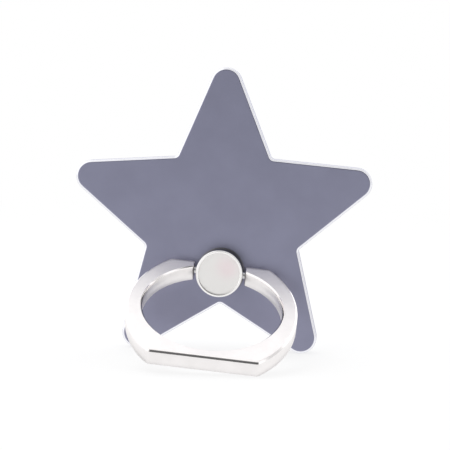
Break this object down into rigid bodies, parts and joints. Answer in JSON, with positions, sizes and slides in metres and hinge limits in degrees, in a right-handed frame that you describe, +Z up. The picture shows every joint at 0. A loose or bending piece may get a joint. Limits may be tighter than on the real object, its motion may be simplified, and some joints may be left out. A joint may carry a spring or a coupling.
{
  "type": "phone ring holder",
  "caption": "Star-shaped phone ring holder: bevelled metal plate with a swivelling hub, a hinged flat-footed finger ring that props it up and an adhesive back.",
  "frame": {"origin": "on the ground, below the middle of the holder's box", "axes": "+Z up, -Y out of the plate's front and towards the foot of the ring, +X to the right seen from the front"},
  "size_m": [0.0448, 0.0278, 0.0428],
  "materials": {
    "anodised_plate": "satin anodised blue-grey with a bright cut bevel",
    "plated_hub": "bright rim and a satin brushed face",
    "spring_steel": "plain steel",
    "plated_ring": "bright plated",
    "pin_steel": "ground steel",
    "acrylic_foam": "matt closed-cell foam with tacky faces",
    "release_film": "thin milky peel-off film"
  },
  "bodies": {
    "plate": {"star_plate": "anodised_plate", "adhesive_pad": "acrylic_foam", "release_film": "release_film"},
    "hub": {"swivel_hub": "plated_hub", "spring_washer": "spring_steel", "retaining_washer": "spring_steel"},
    "ring": {"finger_ring": "plated_ring", "hinge_pin": "pin_steel"}
  },
  "joints": [
    {"name": "swivel", "type": "hinge", "parent": "plate", "child": "hub", "pos_m": [0, 0.00896, 0.01213], "axis": [0, -0.9994, 0.0349], "continuous": true},
    {"name": "ring_hinge", "type": "hinge", "parent": "hub", "child": "ring", "pos_m": [0, 0.00646, 0.01221], "axis": [-0.9966, 0.0029, 0.0828], "range_deg": [-59.92, 120.08]}
  ]
}
